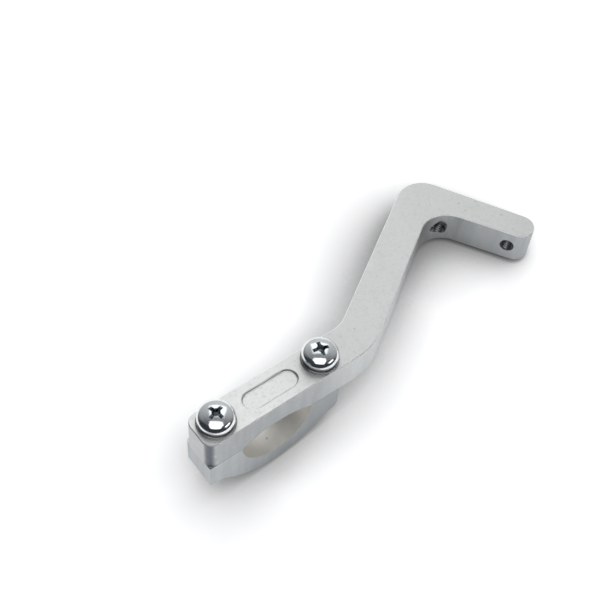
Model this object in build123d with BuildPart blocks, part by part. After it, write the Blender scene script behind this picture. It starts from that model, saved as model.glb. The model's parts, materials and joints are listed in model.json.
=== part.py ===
from build123d import *
import math
import os

# ---------------------------------------------------------------------------
# Cranked clamp-on lever arm: a flat machined aluminium arm that is clamped to
# a round handlebar by a bolt-on saddle cap, bends through about 32 degrees,
# and ends in a short return hook with two tapped holes.
#
# Frame: origin at the centre of the handlebar clamp, on the split between arm
# and cap. +X runs along the clamp bar toward the crank, +Y is the side the
# arm cranks to (and the axis of the handlebar), +Z points out of the arm's
# top face, along the clamp screws. Millimetres.
# ---------------------------------------------------------------------------

# --- arm plate, in plan measured from the middle of the two clamp screws --------
SCREW_MID_X = 0.78      # that middle, measured from the centre of the clamp bore
PLATE_T = 10.0          # arm plate thickness, split plane up to top face
BAR_W = 10.8            # width of the straight clamp bar
ARM_W = 10.5            # width of the cranked arm
BAR_END_X = -22.25      # outer end of the clamp bar
BAR_END_R = 3.0         # corner radius of the outer end, in plan
CRANK_DEG = 31.6        # direction of the cranked arm from +X
CRANK_X = 28.93         # where the arm centre line leaves the bar centre line
BEND_R_IN = 10.0        # crank, concave side
BEND_R_OUT = 20.4       # crank, convex side
HOOK_DEG = -61.7        # direction of the hook's outer edge from +X
HOOK_TAPER_DEG = 2.0    # the inner edge closes on the outer edge toward the tip
HOOK_OUT_OFF = 87.94    # distance of the hook's outer edge from the origin
HOOK_IN_PT = (85.35, 8.0)   # a point on the hook's inner edge
HOOK_END = 46.05        # how far the tip reaches along the hook direction
ELBOW_R_OUT = 8.4
ELBOW_R_IN = 8.5
TIP_R = 4.1
EDGE = 0.22             # broken edges

# --- clamp -------------------------------------------------------------------
BORE_R = 11.1           # 22.2 mm handlebar
SADDLE_H = 3.0          # rise of the arm's shallow saddle above the split
SCREW_X = 16.25         # screws at +/- this from their middle
CAP_X0 = -21.12
CAP_X1 = 20.53
CAP_CORNER_R = 1.0      # upright corner of the cap, free end, arm's cranked side
LUG_T = 8.8             # cap thickness at the lugs
CAP_DEPTH = 16.2        # split plane to the lowest point of the cap
ARCH_R = 23.9           # outer radius of the cap's belly
CAP_INNER_R = 2.5       # lower corner of the cap, arm end
CAP_OUTER_R = 0.8       # lower corner of the cap, free end
SPLIT_GAP = 0.10        # the two halves nearly meet

# --- pocket between the screws -------------------------------------------------
POCKET_L = 16.4
POCKET_W = 5.5
POCKET_D = 0.6
POCKET_X = 0.35         # pocket centre, from the middle of the screws

# --- M5 fasteners --------------------------------------------------------------
M5_SHANK_R = 2.24        # thread at its pitch line
M5_CLEAR_R = 2.75
M5_CAP_R = 2.56         # room for the M5 thread in the cap
HEAD_R = 4.88
HEAD_H = 2.75
RECESS_W = 4.7          # across the wings of the cross recess
RECESS_T = 1.05         # wing thickness
RECESS_D = 2.1
RECESS_TURN = (14.0, 73.0)   # how far each screw's cross stands from the bar, degrees
SCREW_LEN = 25.0
FLAT_OR, FLAT_IR, FLAT_T = 5.15, 2.65, 0.8
SPRING_OR, SPRING_IR, SPRING_T = 4.7, 2.65, 1.2
SPRING_SLOT = 0.7
SPRING_SLOT_DEG = (50.0, 62.0)   # where each spring washer is split
STACK_GAP = 0.04         # between a spring washer and its flat washer
TAP_R = 2.1             # M5 tapping drill
HOLE_PITCH = 20.3
HOLE_TIP_U = 40.16

rad = math.radians


def unit(deg):
    return (math.cos(rad(deg)), math.sin(rad(deg)))


def meet(p, a_deg, q, b_deg):
    """Intersection of two lines, each a point and a direction."""
    a, b = unit(a_deg), unit(b_deg)
    det = a[0] * (-b[1]) + b[0] * a[1]
    dx, dy = q[0] - p[0], q[1] - p[1]
    s = (dx * (-b[1]) + b[0] * dy) / det
    return (p[0] + s * a[0], p[1] + s * a[1])


# --- plan outline of the arm ---------------------------------------------------
ca, sa = unit(CRANK_DEG)
ch, sh = unit(HOOK_DEG)
arm_left = (CRANK_X - sa * ARM_W / 2, ca * ARM_W / 2)      # a point on the +Y edge
arm_right = (CRANK_X + sa * ARM_W / 2, -ca * ARM_W / 2)    # a point on the -Y edge
hook_n = (-sh, ch)                                          # outward normal of the outer edge
hook_out = (hook_n[0] * HOOK_OUT_OFF, hook_n[1] * HOOK_OUT_OFF)
HOOK_IN_DEG = HOOK_DEG + HOOK_TAPER_DEG
tip_pt = (ch * HOOK_END, sh * HOOK_END)

p_bar_r = meet((0, -BAR_W / 2), 0, arm_right, CRANK_DEG)
p_elbow_in = meet(arm_right, CRANK_DEG, HOOK_IN_PT, HOOK_IN_DEG)
p_tip_in = meet(HOOK_IN_PT, HOOK_IN_DEG, tip_pt, HOOK_DEG + 90)
p_tip_out = meet(hook_out, HOOK_DEG, tip_pt, HOOK_DEG + 90)
p_elbow_out = meet(arm_left, CRANK_DEG, hook_out, HOOK_DEG)
p_bar_l = meet((0, BAR_W / 2), 0, arm_left, CRANK_DEG)
outline = [
    (BAR_END_X, -BAR_W / 2), p_bar_r, p_elbow_in, p_tip_in,
    p_tip_out, p_elbow_out, p_bar_l, (BAR_END_X, BAR_W / 2),
]
outline = [(x + SCREW_MID_X, y) for x, y in outline]
radii = [BAR_END_R, BEND_R_OUT, ELBOW_R_IN, TIP_R, TIP_R, ELBOW_R_OUT, BEND_R_IN, BAR_END_R]


def at(face_or_vertex, pt, tol=0.05):
    return abs(face_or_vertex.X - pt[0]) < tol and abs(face_or_vertex.Y - pt[1]) < tol


# --- arm -----------------------------------------------------------------------
with BuildPart() as arm_bracket:
    with BuildSketch(Plane.XY.offset(SPLIT_GAP / 2)):
        with BuildLine():
            Polyline(*outline, close=True)
        make_face()
        for corner, r in zip(outline, radii):
            fillet([v for v in vertices() if at(v, corner)], r)
    extrude(amount=PLATE_T - SPLIT_GAP / 2)
    chamfer(faces().sort_by(Axis.Z)[-1].outer_wire().edges(), EDGE)
    # shallow saddle across the underside
    saddle_r = (BORE_R ** 2 + SADDLE_H ** 2) / (2 * SADDLE_H)
    with BuildSketch(Plane.XZ.offset(-BAR_W)):
        with Locations((0, SADDLE_H - saddle_r)):
            Circle(saddle_r)
    extrude(amount=2 * BAR_W, mode=Mode.SUBTRACT)
    # clearance holes for the clamp screws
    with BuildSketch(Plane.XY.offset(-1)):
        with Locations((SCREW_MID_X - SCREW_X, 0), (SCREW_MID_X + SCREW_X, 0)):
            Circle(M5_CLEAR_R)
    extrude(amount=PLATE_T + 2, mode=Mode.SUBTRACT)
    # milled pocket between the screws
    with BuildSketch(Plane.XY.offset(PLATE_T - POCKET_D)):
        with Locations((SCREW_MID_X + POCKET_X, 0)):
            SlotOverall(POCKET_L, POCKET_W)
    extrude(amount=POCKET_D + 1, mode=Mode.SUBTRACT)
    pocket_floor = [f for f in faces().filter_by(Plane.XY) if abs(f.center().Z - (PLATE_T - POCKET_D)) < 0.01]
    fillet(pocket_floor[0].outer_wire().edges(), 0.42)
    top_face = [f for f in faces().filter_by(Plane.XY) if abs(f.center().Z - PLATE_T) < 0.01][0]
    rim = [e for w in top_face.inner_wires() for e in w.edges()
           if abs(w.bounding_box().size.X - POCKET_L) < 0.1]
    chamfer(rim, 0.2)
    # tapped holes through the hook, square to its outer edge
    for u in (HOLE_TIP_U, HOLE_TIP_U - HOLE_PITCH):
        start = (SCREW_MID_X + hook_n[0] * (HOOK_OUT_OFF + 3) + ch * u, hook_n[1] * (HOOK_OUT_OFF + 3) + sh * u)
        with BuildSketch(Plane(origin=(start[0], start[1], PLATE_T / 2), x_dir=(0, 0, 1),
                               z_dir=(-hook_n[0], -hook_n[1], 0))):
            Circle(TAP_R)
        extrude(amount=20, mode=Mode.SUBTRACT)
arm_bracket.part.label = "arm_bracket"


# --- clamp cap -----------------------------------------------------------------
with BuildPart() as clamp_cap:
    # side profile: two lugs joined by a round belly, drawn as one outline
    belly_z = ARCH_R - CAP_DEPTH
    lug_x = math.sqrt(ARCH_R ** 2 - (belly_z + LUG_T) ** 2)
    with BuildSketch(Plane.XZ.offset(-BAR_W / 2)):
        with BuildLine():
            Line((CAP_X0, -SPLIT_GAP / 2), (CAP_X0, -LUG_T))
            Line((CAP_X0, -LUG_T), (-lug_x, -LUG_T))
            ThreePointArc((-lug_x, -LUG_T), (0, -CAP_DEPTH), (lug_x, -LUG_T))
            Line((lug_x, -LUG_T), (CAP_X1, -LUG_T))
            Line((CAP_X1, -LUG_T), (CAP_X1, -SPLIT_GAP / 2))
            Line((CAP_X1, -SPLIT_GAP / 2), (CAP_X0, -SPLIT_GAP / 2))
        make_face()
        for corner, r in (((CAP_X0, -LUG_T), CAP_OUTER_R), ((CAP_X1, -LUG_T), CAP_INNER_R),
                          ((-lug_x, -LUG_T), 2.0), ((lug_x, -LUG_T), 0.4)):
            fillet([v for v in vertices() if at(v, corner)], r)
        Circle(BORE_R, mode=Mode.SUBTRACT)
    extrude(amount=BAR_W)
    fillet([e for e in edges().filter_by(Axis.Z) if abs(e.center().X - CAP_X0) < 0.01
            and e.center().Y > 0], CAP_CORNER_R)
    side_faces = faces().filter_by(Plane.XZ)
    chamfer([e for f in side_faces for e in f.edges() if e.center().Z < -0.2
             and not (e.geom_type == GeomType.CIRCLE and abs(e.radius - BORE_R) < 0.01)], 0.2)
    # tapped holes for the clamp screws
    with BuildSketch(Plane.XY.offset(1)):
        with Locations((SCREW_MID_X - SCREW_X, 0), (SCREW_MID_X + SCREW_X, 0)):
            Circle(M5_CAP_R)
    extrude(amount=-(CAP_DEPTH + 2), mode=Mode.SUBTRACT)
clamp_cap.part.label = "clamp_cap"

# --- washers -------------------------------------------------------------------
FLAT_Z = PLATE_T
SPRING_Z = FLAT_Z + FLAT_T + STACK_GAP
HEAD_Z = SPRING_Z + SPRING_T
HEAD_TOP = HEAD_Z + HEAD_H


def flat_washer(x, name):
    with BuildPart() as washer:
        with BuildSketch(Plane.XY.offset(FLAT_Z)):
            with Locations((x, 0)):
                Circle(FLAT_OR)
                Circle(FLAT_IR, mode=Mode.SUBTRACT)
        extrude(amount=FLAT_T)
        fillet(faces().sort_by(Axis.Z)[-1].outer_wire().edges(), 0.3)
    washer.part.label = name
    return washer


def spring_washer(x, name, slot_deg):
    with BuildPart() as washer:
        with BuildSketch(Plane.XY.offset(SPRING_Z)):
            with Locations((x, 0)):
                Circle(SPRING_OR)
                Circle(SPRING_IR, mode=Mode.SUBTRACT)
        extrude(amount=SPRING_T)
        chamfer(faces().sort_by(Axis.Z)[-1].outer_wire().edges(), 0.12)
        chamfer(faces().sort_by(Axis.Z)[0].outer_wire().edges(), 0.12)
        # the split that makes it a spring
        c, s = unit(slot_deg)
        with BuildSketch(Plane.XY.offset(SPRING_Z - 0.5)):
            with Locations(Location((x + c * SPRING_OR, s * SPRING_OR, 0), (0, 0, slot_deg))):
                Rectangle(SPRING_OR * 1.3, SPRING_SLOT)
        extrude(amount=SPRING_T + 1, mode=Mode.SUBTRACT)
    washer.part.label = name
    return washer


# --- clamp screws ---------------------------------------------------------------
def clamp_screw(x, name, turn_deg):
    tip = HEAD_Z - SCREW_LEN
    with BuildPart() as screw:
        with BuildSketch(Plane.XZ):
            with BuildLine():
                Polyline((x, HEAD_TOP), (x, tip), (x + M5_SHANK_R - 0.5, tip),
                         (x + M5_SHANK_R, tip + 0.5), (x + M5_SHANK_R, HEAD_Z),
                         (x + HEAD_R - 0.15, HEAD_Z), (x + HEAD_R, HEAD_Z + 0.15),
                         (x + HEAD_R, HEAD_Z + 0.7))
                ThreePointArc((x + HEAD_R, HEAD_Z + 0.7), (x + 4.38, HEAD_Z + 1.5),
                              (x + 3.5, HEAD_Z + 2.03))
                ThreePointArc((x + 3.5, HEAD_Z + 2.03), (x + 1.8, HEAD_Z + 2.57), (x, HEAD_TOP))
            make_face()
        revolve(axis=Axis((x, 0, 0), (0, 0, 1)))
        # cross recess: two crossed wings, tapering to a small core
        for wing in (0, 90):
            with BuildSketch(Plane.XY.offset(HEAD_TOP + 0.05)):
                with Locations(Location((x, 0, 0), (0, 0, turn_deg + wing))):
                    Rectangle(RECESS_W, RECESS_T)
            with BuildSketch(Plane.XY.offset(HEAD_TOP - RECESS_D)):
                with Locations(Location((x, 0, 0), (0, 0, turn_deg + wing))):
                    Rectangle(RECESS_W * 0.45, RECESS_T * 0.8)
            loft(mode=Mode.SUBTRACT)
        with BuildSketch(Plane.XY.offset(HEAD_TOP + 0.05)):
            with Locations((x, 0)):
                Circle(1.15)
        with BuildSketch(Plane.XY.offset(HEAD_TOP - RECESS_D - 0.3)):
            with Locations((x, 0)):
                Circle(0.5)
        loft(mode=Mode.SUBTRACT)
    screw.part.label = name
    return screw


outer_flat_washer = flat_washer(SCREW_MID_X - SCREW_X, "outer_flat_washer")
inner_flat_washer = flat_washer(SCREW_MID_X + SCREW_X, "inner_flat_washer")
outer_spring_washer = spring_washer(SCREW_MID_X - SCREW_X, "outer_spring_washer", SPRING_SLOT_DEG[0])
inner_spring_washer = spring_washer(SCREW_MID_X + SCREW_X, "inner_spring_washer", SPRING_SLOT_DEG[1])
outer_clamp_screw = clamp_screw(SCREW_MID_X - SCREW_X, "outer_clamp_screw", RECESS_TURN[0])
inner_clamp_screw = clamp_screw(SCREW_MID_X + SCREW_X, "inner_clamp_screw", RECESS_TURN[1])

# --- one file per piece ----------------------------------------------------------
os.makedirs("parts", exist_ok=True)
export_step(arm_bracket.part, "parts/arm_bracket.step")
export_step(clamp_cap.part, "parts/clamp_cap.step")
export_step(outer_flat_washer.part, "parts/outer_flat_washer.step")
export_step(inner_flat_washer.part, "parts/inner_flat_washer.step")
export_step(outer_spring_washer.part, "parts/outer_spring_washer.step")
export_step(inner_spring_washer.part, "parts/inner_spring_washer.step")
export_step(outer_clamp_screw.part, "parts/outer_clamp_screw.step")
export_step(inner_clamp_screw.part, "parts/inner_clamp_screw.step")
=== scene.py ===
import bpy, bmesh, json, math
from mathutils import Matrix, Vector

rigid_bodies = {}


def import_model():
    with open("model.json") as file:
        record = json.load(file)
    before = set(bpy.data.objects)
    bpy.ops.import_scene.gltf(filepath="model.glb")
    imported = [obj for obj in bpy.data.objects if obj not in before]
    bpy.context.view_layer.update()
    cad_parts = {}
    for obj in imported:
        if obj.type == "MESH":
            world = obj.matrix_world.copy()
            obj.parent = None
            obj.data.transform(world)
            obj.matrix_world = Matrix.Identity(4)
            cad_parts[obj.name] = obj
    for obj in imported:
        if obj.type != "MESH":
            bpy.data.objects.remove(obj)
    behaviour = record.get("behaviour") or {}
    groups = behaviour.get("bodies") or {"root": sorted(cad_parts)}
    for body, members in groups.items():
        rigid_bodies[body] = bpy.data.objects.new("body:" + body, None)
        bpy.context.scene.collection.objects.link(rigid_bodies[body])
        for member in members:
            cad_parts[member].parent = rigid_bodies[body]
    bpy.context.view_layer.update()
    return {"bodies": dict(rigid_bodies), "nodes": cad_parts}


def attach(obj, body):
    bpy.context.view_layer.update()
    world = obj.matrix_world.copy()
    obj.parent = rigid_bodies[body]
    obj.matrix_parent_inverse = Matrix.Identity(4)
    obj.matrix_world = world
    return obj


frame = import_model()
MM = 0.001
SCREW_MID = 0.00078          # middle of the two screws, from the bore centre
HEAD_TOP = 0.01479          # crown of the screw heads
SCREWS = {"outer": SCREW_MID - 0.01625, "inner": SCREW_MID + 0.01625}


# ------------------------------------------------------------------ materials
class Net:
    """A small helper that wires shader nodes."""

    def __init__(self, name):
        self.mat = bpy.data.materials.new(name)
        self.mat.use_nodes = True
        self.nt = self.mat.node_tree
        self.bsdf = self.nt.nodes["Principled BSDF"]
        self.out = self.nt.nodes["Material Output"]

    def new(self, kind, **props):
        n = self.nt.nodes.new(kind)
        for k, v in props.items():
            setattr(n, k, v)
        return n

    def link(self, a, b):
        self.nt.links.new(a, b)

    def coords(self):
        return self.new("ShaderNodeTexCoord").outputs["Object"]

    def noise(self, vec, scale, detail=4.0, rough=0.55, stretch=None, dist=0.0):
        if stretch:
            m = self.new("ShaderNodeMapping")
            m.inputs["Scale"].default_value = stretch
            self.link(vec, m.inputs["Vector"])
            vec = m.outputs["Vector"]
        n = self.new("ShaderNodeTexNoise")
        n.inputs["Scale"].default_value = scale
        n.inputs["Detail"].default_value = detail
        n.inputs["Roughness"].default_value = rough
        n.inputs["Distortion"].default_value = dist
        self.link(vec, n.inputs["Vector"])
        return n.outputs["Fac"]

    def ramp(self, fac, stops):
        r = self.new("ShaderNodeValToRGB")
        while len(r.color_ramp.elements) < len(stops):
            r.color_ramp.elements.new(0.5)
        for e, (p, c) in zip(r.color_ramp.elements, stops):
            e.position = p
            e.color = (*c, 1) if isinstance(c, tuple) else (c, c, c, 1)
        self.link(fac, r.inputs["Fac"])
        return r.outputs["Color"]

    def math(self, op, a, b=0.0, clamp=False):
        m = self.new("ShaderNodeMath", operation=op, use_clamp=clamp)
        for i, v in enumerate((a, b)):
            if hasattr(v, "links"):
                self.link(v, m.inputs[i])
            else:
                m.inputs[i].default_value = v
        return m.outputs[0]

    def bump(self, height, dist, strength=1.0, normal=None):
        b = self.new("ShaderNodeBump")
        b.inputs["Strength"].default_value = strength
        b.inputs["Distance"].default_value = dist
        self.link(height, b.inputs["Height"])
        if normal is not None:
            self.link(normal, b.inputs["Normal"])
        return b.outputs["Normal"]


def mixc(net, fac, a, b, mode="MIX"):
    """Colour mix with the right RGBA sockets picked by index."""
    m = net.new("ShaderNodeMix", data_type="RGBA", blend_type=mode)
    fs = m.inputs[0]
    sa, sb = m.inputs[6], m.inputs[7]
    for sock, val in ((fs, fac), (sa, a), (sb, b)):
        if hasattr(val, "links"):
            net.link(val, sock)
        elif sock is fs:
            sock.default_value = val
        else:
            sock.default_value = (*val, 1) if isinstance(val, tuple) else (val, val, val, 1)
    return m.outputs[2]


def facing(net, axis, lo, hi):
    """0 to 1 as the surface's own normal turns toward an object axis."""
    g = net.new("ShaderNodeNewGeometry")
    sep = net.new("ShaderNodeSeparateXYZ")
    net.link(g.outputs["Normal"], sep.inputs[0])
    mr = net.new("ShaderNodeMapRange", interpolation_type="SMOOTHSTEP")
    mr.inputs["From Min"].default_value = lo
    mr.inputs["From Max"].default_value = hi
    net.link(sep.outputs[axis], mr.inputs["Value"])
    return mr.outputs["Result"]


def ramp_x(net, sep, lo, hi):
    """0 to 1 along the object's X axis."""
    mr = net.new("ShaderNodeMapRange", interpolation_type="SMOOTHSTEP")
    mr.inputs["From Min"].default_value = lo
    mr.inputs["From Max"].default_value = hi
    net.link(sep.outputs[0], mr.inputs["Value"])
    return mr.outputs["Result"]


def pits(net, co, scale, size):
    """Tiny casting and handling pits: 1 inside a pit, 0 outside."""
    warp = net.new("ShaderNodeTexVoronoi", feature="F1")
    warp.inputs["Scale"].default_value = scale
    warp.inputs["Randomness"].default_value = 1.0
    net.link(co, warp.inputs["Vector"])
    dot = net.ramp(warp.outputs["Distance"], [(0.0, 1.0), (size, 0.0)])
    keep = net.new("ShaderNodeSeparateColor")
    net.link(warp.outputs["Color"], keep.inputs[0])
    few = net.math("GREATER_THAN", keep.outputs[0], 0.72)
    return net.math("MULTIPLY", dot, few)


def aluminium(name, top, side, rough=0.42, bored=False):
    net = Net(name)
    co = net.coords()
    up = facing(net, 2, 0.75, 0.97)
    broad = net.noise(co, 55, 3, 0.6)
    mid = net.noise(co, 320, 5, 0.6)
    fine = net.noise(co, 2600, 3, 0.6)
    tone = mixc(net, net.ramp(broad, [(0.35, 0.0), (0.65, 1.0)]), tuple(c * 0.965 for c in top), top)
    tone = mixc(net, net.math("MULTIPLY", net.ramp(mid, [(0.40, 1.0), (0.62, 0.0)]), 0.35), tone,
                tuple(c * 0.88 for c in top))
    # painted shade: the side faces get a darker grey than the top faces, with faint upright drag lines
    drag = net.noise(co, 260, 4, 0.6, stretch=(1.0, 1.0, 0.12))
    stone = mixc(net, net.ramp(drag, [(0.38, 0.0), (0.62, 1.0)]), tuple(c * 0.92 for c in side),
                 tuple(min(1, c * 1.06) for c in side))
    where = net.new("ShaderNodeSeparateXYZ")
    net.link(co, where.inputs[0])
    if not bored:
        # painted light: tone by place along X, fitted to how the part looks in the reference; the bar's top is
        # painted paler toward the clamp
        tone = mixc(net, net.math("MULTIPLY", ramp_x(net, where, 0.024, -0.002), 0.80), tone, (0.885, 0.89, 0.872))
        # painted light: the side faces along the crank are painted paler
        crank = net.math("MULTIPLY", ramp_x(net, where, 0.010, 0.026), ramp_x(net, where, 0.062, 0.044))
        stone = mixc(net, net.math("MULTIPLY", crank, 0.55), stone, (0.74, 0.755, 0.76))
        # painted light: the -X facing end faces of the bar are painted paler
        ends = net.math("MULTIPLY", facing(net, 0, -0.60, -0.97), ramp_x(net, where, -0.014, -0.019))
        stone = mixc(net, net.math("MULTIPLY", ends, 0.35), stone, (0.74, 0.75, 0.75))
    else:
        # painted shade: the cap's side faces are painted darker toward +X
        stone = mixc(net, net.math("MULTIPLY", ramp_x(net, where, -0.006, 0.018), 0.8), stone, (0.33, 0.345, 0.36))
    # painted shade: upward faces take the top colour, all other faces the darker side colour
    col = mixc(net, up, stone, tone)
    grain = net.noise(co, 1250, 4, 0.7)
    col = mixc(net, net.math("MULTIPLY", net.ramp(grain, [(0.50, 0.0), (0.68, 1.0)]), 0.30), col, tuple(c * 0.62 for c in top))
    # painted highlight: the chamfered edges are painted pale, with fitted values
    rim = net.math("MULTIPLY", facing(net, 2, 0.45, 0.62), net.math("SUBTRACT", 1.0, facing(net, 2, 0.82, 0.93)))
    col = mixc(net, net.math("MULTIPLY", rim, 0.9), col, (0.97, 0.97, 0.96))
    if not bored:
        # painted reflection: a dark upright band is painted on the bar's rounded -X end, where its faces turn
        # toward (-0.74, -0.67, 0)
        dp = net.new("ShaderNodeVectorMath", operation="DOT_PRODUCT")
        dp.inputs[1].default_value = Vector((-0.74, -0.67, 0)).normalized()
        net.link(net.new("ShaderNodeNewGeometry").outputs["Normal"], dp.inputs[0])
        nose = net.ramp(dp.outputs["Value"], [(0.86, 0.0), (0.985, 1.0)])
        sx = net.new("ShaderNodeSeparateXYZ")
        net.link(co, sx.inputs[0])
        nose = net.math("MULTIPLY", nose, net.math("LESS_THAN", sx.outputs[0], -0.015))
        col = mixc(net, net.math("MULTIPLY", nose, 0.90), col, (0.13, 0.135, 0.16))
    pit = pits(net, co, 420, 0.16)
    pit_big = pits(net, co, 150, 0.07)
    both = net.math("MAXIMUM", pit, pit_big)
    col = mixc(net, net.math("MULTIPLY", both, 0.55), col, (0.16, 0.16, 0.17))
    scuff = net.noise(co, 900, 2, 0.5, stretch=(1.0, 0.09, 1.0), dist=0.6)
    scuff_m = net.ramp(scuff, [(0.66, 0.0), (0.72, 1.0)])
    col = mixc(net, net.math("MULTIPLY", scuff_m, 0.25), col, tuple(min(1, c * 1.12) for c in top))
    r = net.math("ADD", net.math("MULTIPLY", mid, 0.16), rough - 0.08)
    r = net.math("ADD", r, net.math("MULTIPLY", fine, 0.10))
    h = net.math("ADD", net.math("MULTIPLY", mid, 0.6), net.math("MULTIPLY", fine, 0.35))
    h = net.math("SUBTRACT", h, net.math("MULTIPLY", both, 1.4))
    if bored:
        m = in_bore(net, co)
        bc, br, bh = bore_look(net, co)
        # painted shade: the bore's wall is painted darker toward -X
        bc = mixc(net, net.math("MULTIPLY", ramp_x(net, where, 0.006, -0.010), 0.55), bc, (0.50, 0.48, 0.44))
        col = mixc(net, m, col, bc)
        keep = net.math("SUBTRACT", 1.0, m)
        r = net.math("ADD", net.math("MULTIPLY", r, keep), net.math("MULTIPLY", br, m))
        h = net.math("ADD", net.math("MULTIPLY", h, keep), net.math("MULTIPLY", bh, m))
        net.link(net.math("SUBTRACT", 1.0, net.math("MULTIPLY", m, 0.45)), net.bsdf.inputs["Metallic"])
    net.link(col, net.bsdf.inputs["Base Color"])
    if not bored:
        net.bsdf.inputs["Metallic"].default_value = 1.0
    net.link(net.math("MINIMUM", r, 0.8), net.bsdf.inputs["Roughness"])
    net.link(net.bump(h, 0.00004, 0.55), net.bsdf.inputs["Normal"])
    return net.mat


def bore_look(net, co):
    """Colour, roughness and height of the bored seat: warm, with fine tool lines and bright flecks; the flecks are
    painted highlights.
    """
    lines = net.noise(co, 2400, 3, 0.6, stretch=(0.05, 1.0, 0.05))
    specks = net.noise(co, 1800, 4, 0.65, stretch=(1.0, 0.22, 1.0))
    broad = net.noise(co, 130, 3, 0.6)
    col = mixc(net, net.ramp(broad, [(0.35, 0.0), (0.65, 1.0)]), (0.82, 0.79, 0.72), (0.95, 0.92, 0.86))
    # painted highlight: the bright flecks are painted near white
    col = mixc(net, net.math("MULTIPLY", net.ramp(specks, [(0.60, 0.0), (0.70, 1.0)]), 0.6), col, (1.0, 0.99, 0.95))
    pit = pits(net, co, 260, 0.12)
    col = mixc(net, net.math("MULTIPLY", pit, 0.7), col, (0.10, 0.10, 0.10))
    rough = net.math("ADD", net.math("MULTIPLY", specks, 0.2), 0.34)
    h = net.math("ADD", net.math("MULTIPLY", lines, 0.7), net.math("MULTIPLY", specks, 0.5))
    return col, rough, h


def in_bore(net, co):
    """1 on the round seat's wall, 0 elsewhere."""
    sep = net.new("ShaderNodeSeparateXYZ")
    net.link(co, sep.inputs[0])
    x2 = net.math("MULTIPLY", sep.outputs[0], sep.outputs[0])
    z2 = net.math("MULTIPLY", sep.outputs[2], sep.outputs[2])
    inside = net.math("LESS_THAN", net.math("ADD", x2, z2), 0.01116 ** 2)
    nrm = net.new("ShaderNodeSeparateXYZ")
    net.link(net.new("ShaderNodeNewGeometry").outputs["Normal"], nrm.inputs[0])
    wall = net.math("LESS_THAN", net.math("ABSOLUTE", nrm.outputs[1]), 0.5)
    return net.math("MULTIPLY", inside, wall)


def plated(name, base, rough, mottle=0.06, bumpy=0.00001, recess_x=None):
    net = Net(name)
    co = net.coords()
    a = net.noise(co, 420, 4, 0.6)
    b = net.noise(co, 3500, 3, 0.6)
    col = mixc(net, net.ramp(a, [(0.35, 0.0), (0.68, 1.0)]), tuple(c * (1 - mottle) for c in base), base)
    spot = pits(net, co, 900, 0.10)
    col = mixc(net, net.math("MULTIPLY", spot, 0.4), col, tuple(c * 0.35 for c in base))
    if recess_x is not None:
        # painted shade: the driver recess is painted darker below the crown, more so deeper down
        sx = net.new("ShaderNodeSeparateXYZ")
        net.link(co, sx.inputs[0])
        dx = net.math("SUBTRACT", sx.outputs[0], recess_x)
        r2 = net.math("ADD", net.math("MULTIPLY", dx, dx), net.math("MULTIPLY", sx.outputs[1], sx.outputs[1]))
        near = net.math("LESS_THAN", r2, 0.00243 ** 2)
        deep = net.new("ShaderNodeMapRange")
        deep.inputs["From Min"].default_value = HEAD_TOP - 0.00034
        deep.inputs["From Max"].default_value = HEAD_TOP - 0.00085
        net.link(sx.outputs[2], deep.inputs["Value"])
        shank = net.math("GREATER_THAN", sx.outputs[2], HEAD_TOP - 0.0027)
        recess_shade = net.math("MULTIPLY", net.math("MULTIPLY", near, deep.outputs["Result"]), shank)
        col = mixc(net, net.math("MULTIPLY", recess_shade, 0.70), col, (0.18, 0.23, 0.25))
    net.link(col, net.bsdf.inputs["Base Color"])
    net.bsdf.inputs["Metallic"].default_value = 1.0
    r = net.math("ADD", net.math("MULTIPLY", b, rough * 0.5), rough * 0.75)
    net.link(r, net.bsdf.inputs["Roughness"])
    net.link(net.bump(net.math("ADD", a, net.math("MULTIPLY", b, 0.25)), bumpy, 0.5), net.bsdf.inputs["Normal"])
    return net.mat


ARM = aluminium("arm_aluminium_satin", (0.685, 0.69, 0.677), (0.42, 0.435, 0.445))
CAP = aluminium("cap_aluminium_satin", (0.66, 0.665, 0.665), (0.46, 0.48, 0.495), rough=0.38, bored=True)
CHROME = plated("screw_bright_plate", (0.78, 0.80, 0.82), 0.06)
# painted shade: the spring washers are given a dark grey that stands in for the shade under the screw heads
SPRING = plated("spring_washer_zinc_painted_shade", (0.24, 0.265, 0.27), 0.24, 0.14, 0.00002)
FLAT = plated("flat_washer_zinc", (0.30, 0.31, 0.31), 0.28, 0.12, 0.00002)
HEAD = {k: plated(k + "_screw_bright_plate", (0.84, 0.86, 0.87), 0.13, mottle=0.10, bumpy=0.00002, recess_x=x) for k, x in SCREWS.items()}
# painted shade: the tapped threads inside the hook's holes are a darker copy of the aluminium
THREAD = plated("tapped_thread_aluminium_painted_shade", (0.24, 0.25, 0.26), 0.30, 0.12, 0.00002)


def dress(node, *mats):
    o = frame["nodes"][node]
    o.data.materials.clear()
    for m in mats:
        o.data.materials.append(m)
    return o


arm = dress("arm_bracket", ARM)
cap = dress("clamp_cap", CAP)
for side in ("outer", "inner"):
    dress(side + "_clamp_screw", HEAD[side])
    dress(side + "_spring_washer", SPRING)
    dress(side + "_flat_washer", FLAT)


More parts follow.
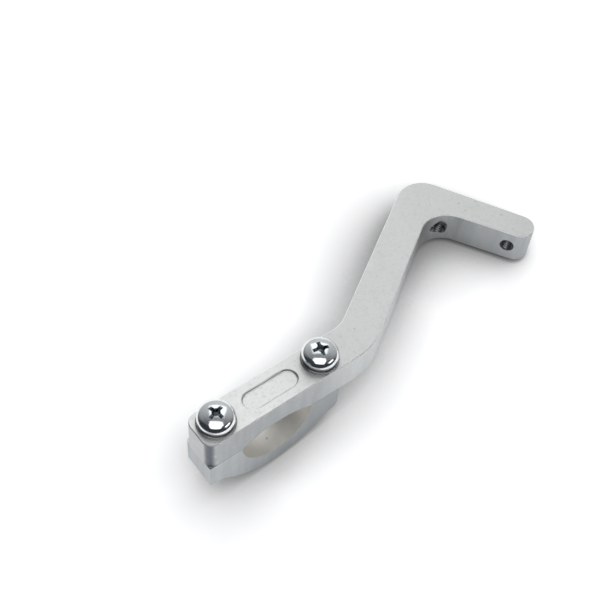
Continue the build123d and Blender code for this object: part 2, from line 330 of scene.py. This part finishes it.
# -------------------------------------------------------------------- threads
def thread(name, start, axis, length, root, crest, pitch, outward, per_turn=40):
    """One helical V ridge as a closed triangular tube, about axis from start.

    outward: the ridge stands out from a shank; otherwise it stands in from a hole's wall."""
    z = Vector(axis).normalized()
    x = z.orthogonal().normalized()
    y = z.cross(x)
    start = Vector(start)
    turns = length / pitch - 1.0
    n = int(turns * per_turn)
    bm = bmesh.new()
    loops = []
    sink = 0.00005 if outward else -0.00005
    for i in range(n + 1):
        t = math.tau * i / per_turn
        # the ridge grows out of the wall and dies back into it over half a turn
        fade = min(1.0, i / (per_turn * 0.5), (n - i) / (per_turn * 0.5))
        top = root + (crest - root) * max(fade, 0.02)
        d = x * math.cos(t) + y * math.sin(t)
        h = pitch * i / per_turn + pitch * 0.5
        loops.append([bm.verts.new(start + z * (h - pitch * 0.46) + d * (root - sink)),
                      bm.verts.new(start + z * (h - pitch * 0.06) + d * top),
                      bm.verts.new(start + z * (h + pitch * 0.06) + d * top),
                      bm.verts.new(start + z * (h + pitch * 0.46) + d * (root - sink))])
    for a, b in zip(loops, loops[1:]):
        for k in range(4):
            bm.faces.new((a[k], a[(k + 1) % 4], b[(k + 1) % 4], b[k]))
    bm.faces.new(loops[0][::-1])
    bm.faces.new(loops[-1])
    bmesh.ops.recalc_face_normals(bm, faces=bm.faces)
    me = bpy.data.meshes.new(name)
    bm.to_mesh(me)
    bm.free()
    o = bpy.data.objects.new(name, me)
    bpy.context.scene.collection.objects.link(o)
    return o


hook_dir = math.radians(-61.7)
hu = Vector((math.cos(hook_dir), math.sin(hook_dir), 0))
hn = Vector((-math.sin(hook_dir), math.cos(hook_dir), 0))
for name, u, n0, n1 in (("hook_tip_thread", 0.04016, 0.07935, 0.08775), ("hook_elbow_thread", 0.01986, 0.0763, 0.08775)):
    at = Vector((SCREW_MID, 0, 0.005)) + hn * n0 + hu * u
    t = thread(name, at, hn, n1 - n0, 0.0021, 0.00186, 0.0008, outward=False)
    t.data.materials.append(THREAD)
    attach(t, "arm")
for side, x in SCREWS.items():
    t = thread(side + "_screw_thread", (x, 0, -0.01255), (0, 0, 1), 0.0205, 0.00224, 0.00249, 0.0008, outward=True)
    t.data.materials.append(CHROME)
    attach(t, side + "_screw")


# ---------------------------------------------------------------------- stage
def floor():
    """Pale floor the bracket rests on: cap belly, elbow and hook tip touch it."""
    # z = a x + b y + c through the elbow, the tip and the belly's +Y edge
    a, b, c = 0.171, 0.0932, -0.01745
    n = Vector((-a, -b, 1)).normalized()
    me = bpy.data.meshes.new("floor")
    bm = bmesh.new()
    R = 1.6
    ring = [bm.verts.new((R * math.cos(t), R * math.sin(t), 0)) for t in [i * math.tau / 96 for i in range(96)]]
    bm.faces.new(ring)
    bm.to_mesh(me)
    bm.free()
    o = bpy.data.objects.new("floor", me)
    bpy.context.scene.collection.objects.link(o)
    o.matrix_world = Matrix.Translation((0.03, 0.0, a * 0.03 + c)) @ n.to_track_quat("Z", "Y").to_matrix().to_4x4()
    m = Net("floor_pale")
    g = m.noise(m.coords(), 6, 2)
    # painted shadow: soft contact shade is painted into the floor's colour and glow from an ambient-occlusion
    # lookup with a leaning normal, so that the pale floor still shows where the part stands
    ao = m.new("ShaderNodeAmbientOcclusion", samples=16)
    ao.inputs["Distance"].default_value = 0.024
    lean = m.new("ShaderNodeVectorMath", operation="ADD")
    m.link(m.new("ShaderNodeNewGeometry").outputs["Normal"], lean.inputs[0])
    lean.inputs[1].default_value = (0.20, -0.155, 0.015)
    unit = m.new("ShaderNodeVectorMath", operation="NORMALIZE")
    m.link(lean.outputs[0], unit.inputs[0])
    m.link(unit.outputs[0], ao.inputs["Normal"])
    shade = m.ramp(ao.outputs["AO"], [(0.20, 0.08), (0.55, 0.34), (0.78, 0.72), (0.95, 1.0)])
    tone = mixc(m, m.ramp(g, [(0.3, 0.0), (0.7, 1.0)]), (0.88, 0.88, 0.88), (0.90, 0.90, 0.90))
    m.link(mixc(m, 1.0, tone, shade, "MULTIPLY"), m.bsdf.inputs["Base Color"])
    m.link(shade, m.bsdf.inputs["Emission Color"])
    m.bsdf.inputs["Roughness"].default_value = 0.9
    m.bsdf.inputs["Specular IOR Level"].default_value = 0.1
    m.bsdf.inputs["Emission Strength"].default_value = 0.62
    me.materials.append(m.mat)
    # the cap is what stands on the floor, so the floor keeps to it as the clamp opens
    o.parent = frame["bodies"]["cap"]
    return o


def area(name, at, look, size, power, size_y=None, color=(1, 1, 1)):
    d = bpy.data.lights.new(name, "AREA")
    d.energy = power
    d.color = color
    d.shape = "RECTANGLE"
    d.size = size
    d.size_y = size_y or size
    o = bpy.data.objects.new(name, d)
    bpy.context.scene.collection.objects.link(o)
    o.location = at
    o.rotation_euler = (Vector(look) - Vector(at)).to_track_quat("-Z", "Y").to_euler()
    return o


floor_obj = floor()
area("softbox_top", (-0.20, -0.25, 0.74), (0.0, 0.0, 0.0), 0.64, 1.95, 0.64)
area("softbox_back", (0.36, 0.42, 0.72), (0.03, 0.0, 0.0), 0.75, 1.35, 0.75)
area("strip_right", (0.30, -0.50, 0.42), (0.02, 0.0, 0.0), 0.34, 0.42, 0.20)

world = bpy.data.worlds.new("studio")
bpy.context.scene.world = world
world.use_nodes = True
wn = world.node_tree
bg = wn.nodes["Background"]
bg.inputs["Strength"].default_value = 1.0
tc = wn.nodes.new("ShaderNodeTexCoord")
sep = wn.nodes.new("ShaderNodeSeparateXYZ")
wn.links.new(tc.outputs["Generated"], sep.inputs[0])
# brighter behind the object (+X +Y), darker to the sides
dotp = wn.nodes.new("ShaderNodeVectorMath"); dotp.operation = "DOT_PRODUCT"
dotp.inputs[1].default_value = Vector((0.62, 0.70, 0.35)).normalized()
wn.links.new(tc.outputs["Generated"], dotp.inputs[0])
ramp = wn.nodes.new("ShaderNodeValToRGB")
ramp.color_ramp.elements[0].position = 0.0
ramp.color_ramp.elements[0].color = (0.035, 0.04, 0.048, 1)
ramp.color_ramp.elements[1].position = 1.0
ramp.color_ramp.elements[1].color = (0.62, 0.635, 0.65, 1)
mr = wn.nodes.new("ShaderNodeMapRange")
mr.inputs["From Min"].default_value = 0.1
mr.inputs["From Max"].default_value = 1.0
wn.links.new(dotp.outputs["Value"], mr.inputs["Value"])
wn.links.new(mr.outputs["Result"], ramp.inputs["Fac"])
lp = wn.nodes.new("ShaderNodeLightPath")
mixw = wn.nodes.new("ShaderNodeMix"); mixw.data_type = "RGBA"
wn.links.new(lp.outputs["Is Camera Ray"], mixw.inputs[0])
wn.links.new(ramp.outputs["Color"], mixw.inputs[6])
mixw.inputs[7].default_value = (1, 1, 1, 1)
wn.links.new(mixw.outputs[2], bg.inputs["Color"])

# --------------------------------------------------------------------- camera
cam_data = bpy.data.cameras.new("camera")
cam_data.sensor_width = 36.0
cam_data.lens = 60.0
cam_data.clip_start = 0.01
cam_data.clip_end = 20
cam = bpy.data.objects.new("camera", cam_data)
bpy.context.scene.collection.objects.link(cam)
cam.matrix_world = Matrix((
    (0.78852852, 0.45392026, -0.41494478, -0.08731586),
    (-0.61204698, 0.64522703, -0.4572533, -0.1052666),
    (0.06017705, 0.61452297, 0.78660043, 0.22233103),
    (0.0, 0.0, 0.0, 1.0)))
bpy.context.scene.camera = cam
bpy.context.scene.view_settings.view_transform = "Standard"
bpy.context.scene.view_settings.look = "None"
